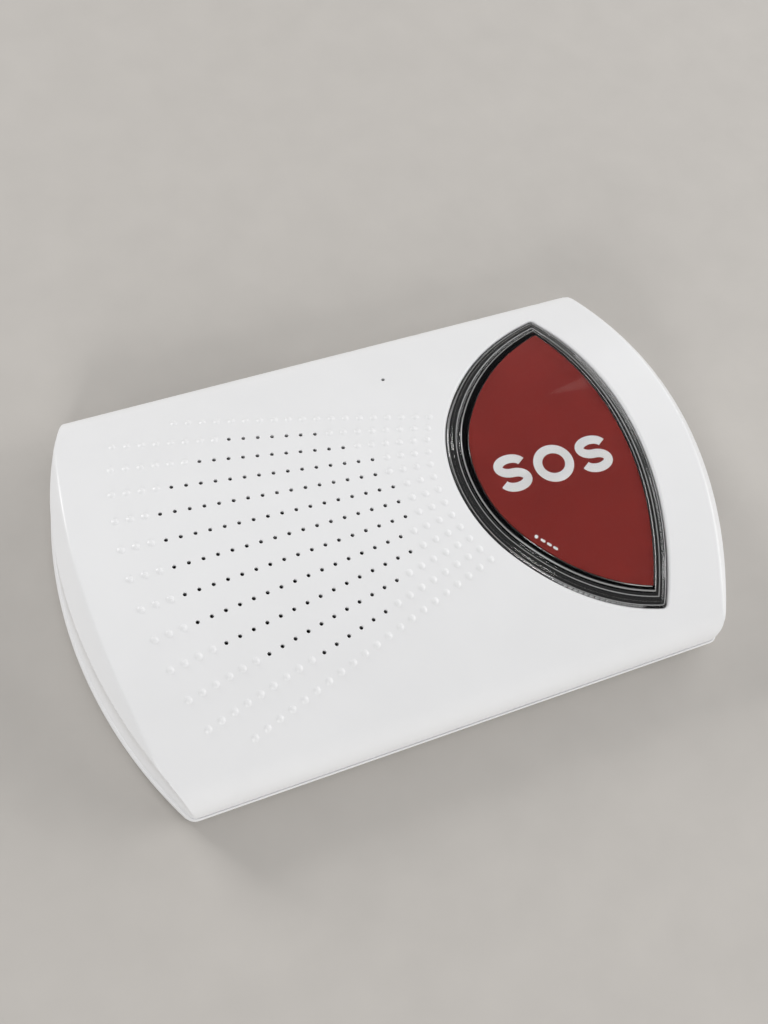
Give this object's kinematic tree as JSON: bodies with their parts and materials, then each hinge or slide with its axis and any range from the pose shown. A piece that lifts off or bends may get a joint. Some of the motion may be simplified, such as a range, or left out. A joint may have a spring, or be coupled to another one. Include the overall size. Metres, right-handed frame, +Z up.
{
  "type": "emergency call console",
  "caption": "Low white emergency call console with an arched top, a fan-shaped speaker grille and a large lens-shaped red help button under a clear stepped cap.",
  "frame": {"origin": "on the table, below the middle of the case", "axes": "+X along the case towards the help button, +Y towards the back with the sockets, +Z up"},
  "size_m": [0.2126, 0.1356, 0.0369],
  "materials": {
    "white_shell": "fine satin moulded ABS",
    "clear_cap": "clear polished acrylic",
    "red_insert": "printed film, matte",
    "dark_carrier": "black moulded plastic",
    "black_plastic": "black moulded plastic",
    "ivory_plastic": "natural nylon",
    "lamp_red": "clear tinted epoxy",
    "light_guide": "clear polished acrylic",
    "board_green": "solder-masked laminate",
    "chip_black": "moulded epoxy",
    "shield_tin": "tinned steel",
    "antenna_brass": "drawn wire",
    "basket_steel": "dark painted steel",
    "cone_paper": "pressed black paper",
    "magnet_steel": "zinc plated",
    "foam_gasket": "closed-cell foam",
    "capsule_can": "drawn aluminium can",
    "boot_rubber": "soft rubber",
    "cell_wrap": "shrink sleeve",
    "contact_nickel": "nickel plated",
    "spring_steel": "drawn spring wire",
    "clip_steel": "zinc plated sheet",
    "screw_steel": "zinc plated",
    "ribbon_grey": "flat ribbon cable",
    "foot_rubber": "soft moulded rubber"
  },
  "bodies": {
    "case": {"top_cover": "white_shell", "bottom_housing": "white_shell", "battery_door": "white_shell", "switch_body": "black_plastic", "power_jack": "black_plastic", "power_switch": "black_plastic", "board_connectors": "ivory_plastic", "line_jack": "ivory_plastic", "status_lamp": "lamp_red", "main_board": "board_green", "jack_board": "board_green", "board_chips": "chip_black", "radio_module": "shield_tin", "antenna": "antenna_brass", "speaker_basket": "basket_steel", "speaker_cone": "cone_paper", "speaker_magnet": "magnet_steel", "speaker_gasket": "foam_gasket", "microphone": "capsule_can", "microphone_boot": "boot_rubber", "backup_cell": "cell_wrap", "cell_contact_1": "contact_nickel", "cell_contact_2": "contact_nickel", "return_spring_1": "spring_steel", "return_spring_2": "spring_steel", "return_spring_3": "spring_steel", "speaker_clip_1": "clip_steel", "speaker_clip_2": "clip_steel", "speaker_clip_3": "clip_steel", "speaker_clip_4": "clip_steel", "main_board_screws": "screw_steel", "speaker_screws": "screw_steel", "jack_board_screws": "screw_steel", "case_screws": "screw_steel", "battery_door_screw": "screw_steel", "ribbon_cable": "ribbon_grey", "rubber_foot_1": "foot_rubber", "rubber_foot_2": "foot_rubber", "rubber_foot_3": "foot_rubber", "rubber_foot_4": "foot_rubber"},
    "help_button": {"button_cap": "clear_cap", "button_insert": "red_insert", "button_carrier": "dark_carrier", "light_pipe": "light_guide"},
    "switch_plunger": {"switch_plunger": "ivory_plastic"},
    "power_slider": {"power_switch_slider": "white_shell"}
  },
  "joints": [
    {"name": "help_press", "type": "slide", "parent": "case", "child": "help_button", "axis": [0, 0, -1], "range_m": [0, 0.0015], "stiffness_N_per_m": 1500, "springref_m": -0.001, "deforming": ["return_spring_1", "return_spring_2", "return_spring_3"]},
    {"name": "plunger_press", "type": "slide", "parent": "case", "child": "switch_plunger", "axis": [0, 0, -1], "range_m": [0, 0.0015]},
    {"name": "power_slide", "type": "slide", "parent": "case", "child": "power_slider", "axis": [1, 0, 0], "range_m": [0, 0.004]}
  ],
  "couplings": [
    {"joint": "plunger_press", "follows": "help_press", "ratio": 1}
  ]
}
